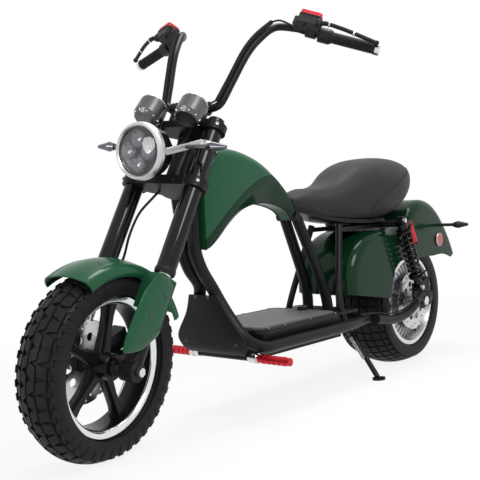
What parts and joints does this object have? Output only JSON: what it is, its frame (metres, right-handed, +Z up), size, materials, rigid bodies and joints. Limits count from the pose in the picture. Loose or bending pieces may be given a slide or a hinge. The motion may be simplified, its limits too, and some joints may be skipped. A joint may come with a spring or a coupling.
{
  "type": "electric chopper scooter",
  "caption": "Electric chopper scooter with raked fork, fat tyres, arched tank shell, low deck, saddle and side stand.",
  "frame": {"origin": "on the floor under the middle of the whole scooter's box, as it leans on its side stand", "axes": "+X forward along the scooter, +Y to the rider's left, +Z up"},
  "size_m": [2.0132, 0.8602, 1.2176],
  "materials": {
    "gloss_black": "gloss black paint",
    "satin_black": "satin black powder coat",
    "green_paint": "gloss dark green paint over clear coat",
    "polished_alloy": "polished aluminium",
    "hub_alloy": "cast aluminium, satin",
    "grey_metal": "metallic grey",
    "disc_steel": "ground steel",
    "red_anodised": "red anodised aluminium",
    "tyre_rubber": "black tyre rubber",
    "black_rubber": "black rubber",
    "mat_rubber": "dark grey ribbed mat",
    "seat_leather": "black leather",
    "clear_lens": "clear lens",
    "red_lens": "dark red lens",
    "black_plastic": "matt black plastic",
    "battery_case": "matt grey case"
  },
  "bodies": {
    "frame": {"main_frame": "satin_black", "nose_plate": "satin_black", "battery_box": "satin_black", "battery": "battery_case", "deck": "satin_black", "deck_mat": "mat_rubber", "rear_panel": "satin_black", "tank": "green_paint", "tank_strip": "gloss_black", "seat": "seat_leather", "seat_base": "satin_black", "rear_fender": "green_paint", "swingarm": "satin_black", "rear_axle": "polished_alloy", "shock_bodies": "gloss_black", "shock_springs": "gloss_black", "shock_reservoirs": "red_anodised", "rear_caliper": "satin_black", "rear_hose": "black_rubber", "tail_lamp": "red_lens", "rear_signals": "black_plastic", "side_reflectors": "red_lens", "foot_pegs": "red_anodised", "peg_clamps": "polished_alloy"},
    "steering": {"lower_clamp": "satin_black", "upper_clamp": "satin_black", "fork_tubes": "gloss_black", "fork_sliders": "polished_alloy", "fork_feet": "satin_black", "front_axle": "polished_alloy", "front_fender": "green_paint", "front_caliper": "satin_black", "front_hose": "black_rubber", "headlamp_bucket": "gloss_black", "headlamp_bezel": "polished_alloy", "headlamp_lens": "clear_lens", "headlamp_stays": "polished_alloy", "front_signals": "black_plastic", "gauge_pods": "grey_metal", "handlebar": "satin_black", "bar_clamps": "satin_black", "grips": "black_rubber", "bar_ends": "polished_alloy", "brake_levers": "satin_black", "master_cylinders": "black_plastic", "reservoir_caps": "red_anodised", "switch_housings": "black_plastic", "cable_wraps": "black_rubber"},
    "front_wheel": {"front_rim": "satin_black", "front_tyre": "tyre_rubber", "front_disc": "disc_steel"},
    "rear_wheel": {"rear_hub": "hub_alloy", "rear_tyre": "tyre_rubber", "rear_disc": "disc_steel"},
    "stand": {"side_stand": "satin_black", "stand_spring": "polished_alloy"}
  },
  "joints": [
    {"name": "steering", "type": "hinge", "parent": "frame", "child": "steering", "pos_m": [0.43839, -0.0044, 0.74464], "axis": [-0.4948, 0.0606, 0.8669], "range_deg": [-44, 26]},
    {"name": "front_wheel", "type": "hinge", "parent": "steering", "child": "front_wheel", "pos_m": [0.76531, -0.0341, 0.24118], "axis": [-0.136, 0.9799, -0.1461], "continuous": true},
    {"name": "rear_wheel", "type": "hinge", "parent": "frame", "child": "rear_wheel", "pos_m": [-0.65432, -0.0399, 0.23788], "axis": [-0.0001, 0.9976, -0.0698], "continuous": true},
    {"name": "stand", "type": "hinge", "parent": "frame", "child": "stand", "pos_m": [-0.31637, -0.01072, 0.16742], "axis": [-0.0001, 0.9976, -0.0698], "range_deg": [0, 75]}
  ]
}
